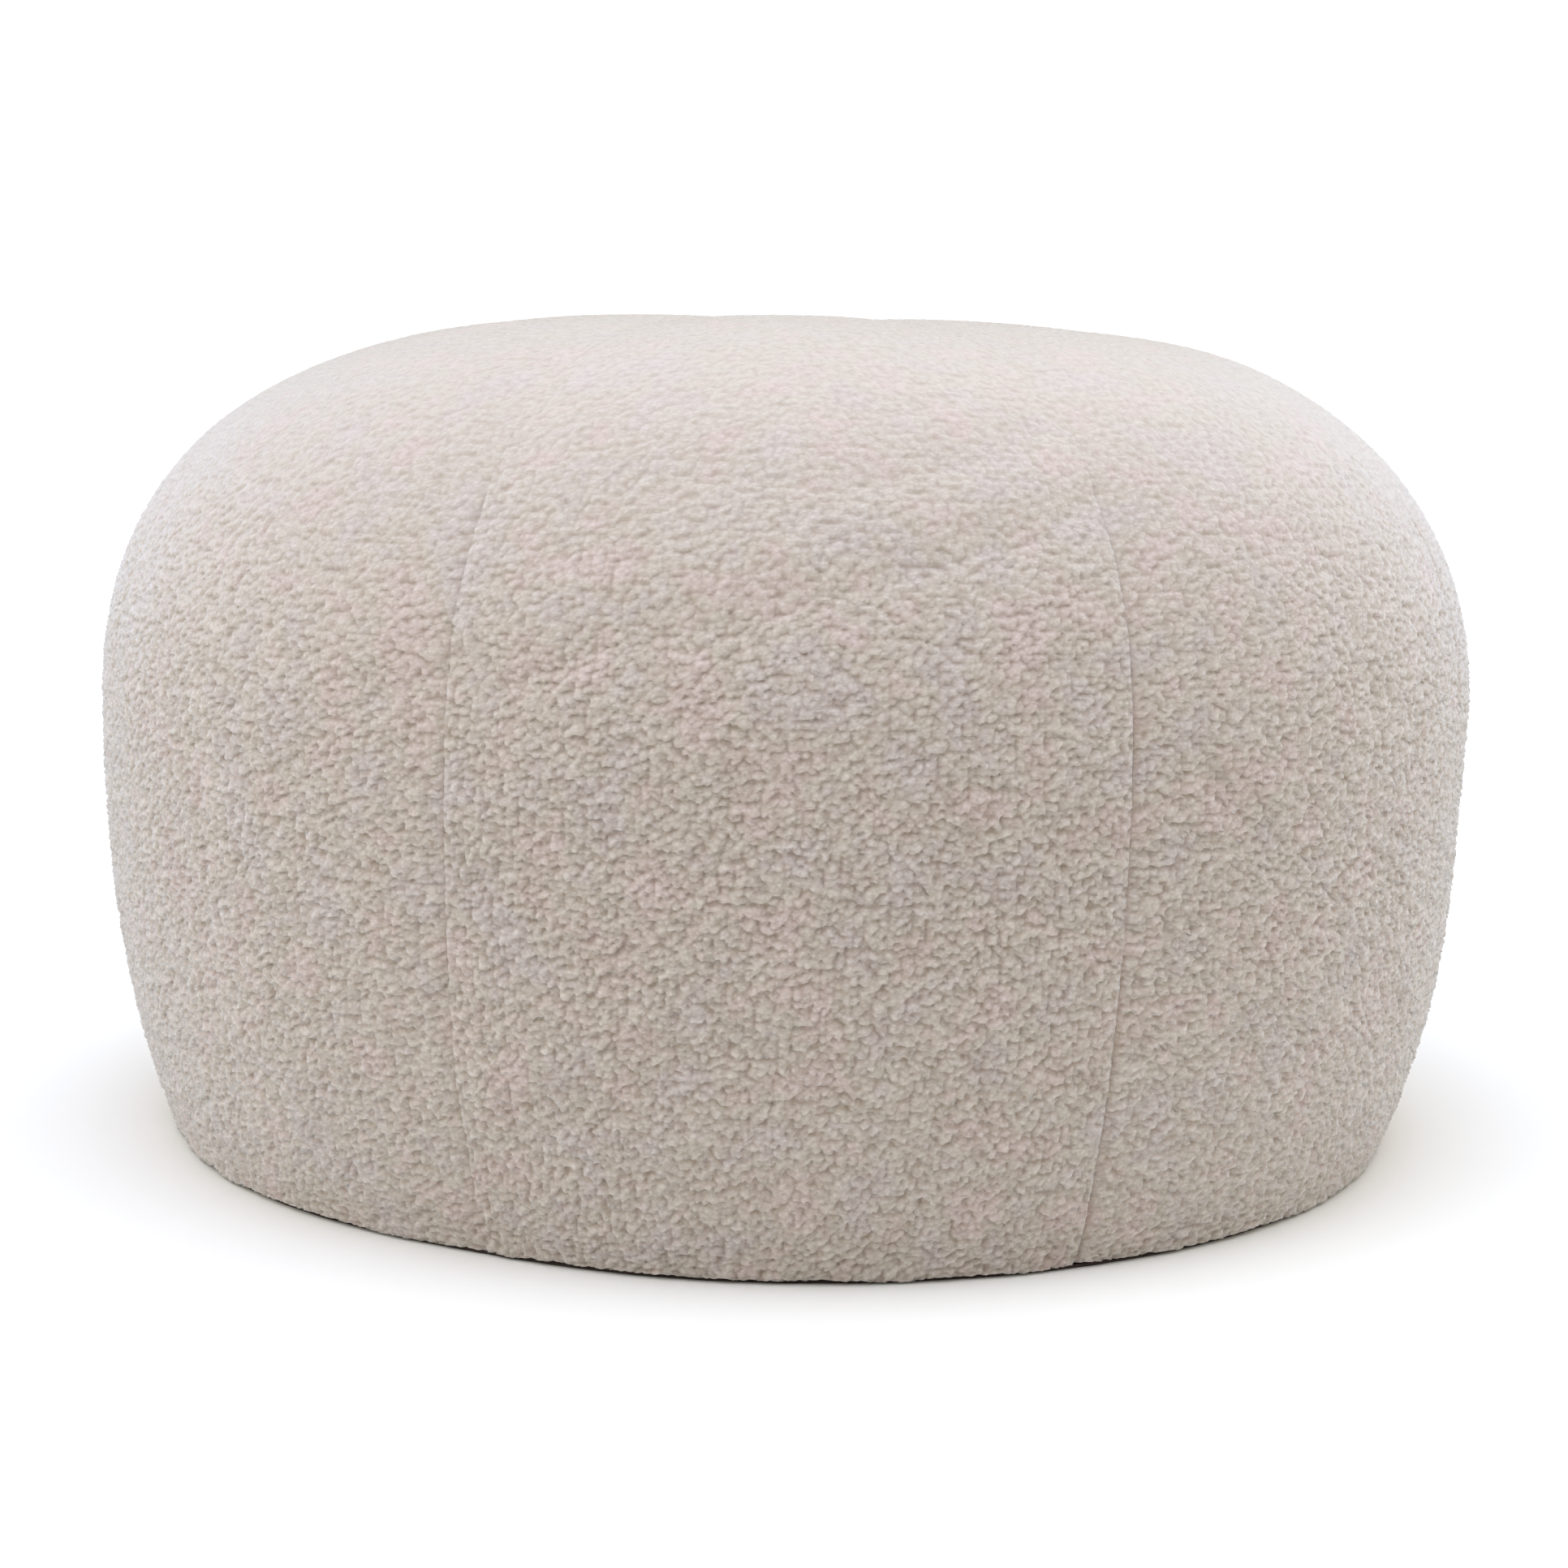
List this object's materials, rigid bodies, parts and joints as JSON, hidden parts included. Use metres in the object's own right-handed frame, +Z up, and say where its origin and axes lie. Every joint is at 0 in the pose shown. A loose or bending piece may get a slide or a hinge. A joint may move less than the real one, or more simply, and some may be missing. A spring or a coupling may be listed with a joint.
{
  "type": "pouf",
  "caption": "Low round floor pouf: a firmly filled cover of curly pile cloth, sewn from tapering panels that meet at the crown, on a flat dark base cloth.",
  "frame": {"origin": "on the surface that the pouf stands on, under the middle of its base panel", "axes": "+Z up; the front, with the widest panel, faces -Y; +X is to the viewer's right"},
  "size_m": [0.6516, 0.6525, 0.3809],
  "materials": {
    "pile_cloth": "matt cream to oatmeal curly pile, about 3 mm deep",
    "base_cloth": "matt near-black close base cloth"
  },
  "bodies": {
    "root": {"pouf_body": "pile_cloth", "base_panel": "base_cloth"}
  },
  "joints": []
}
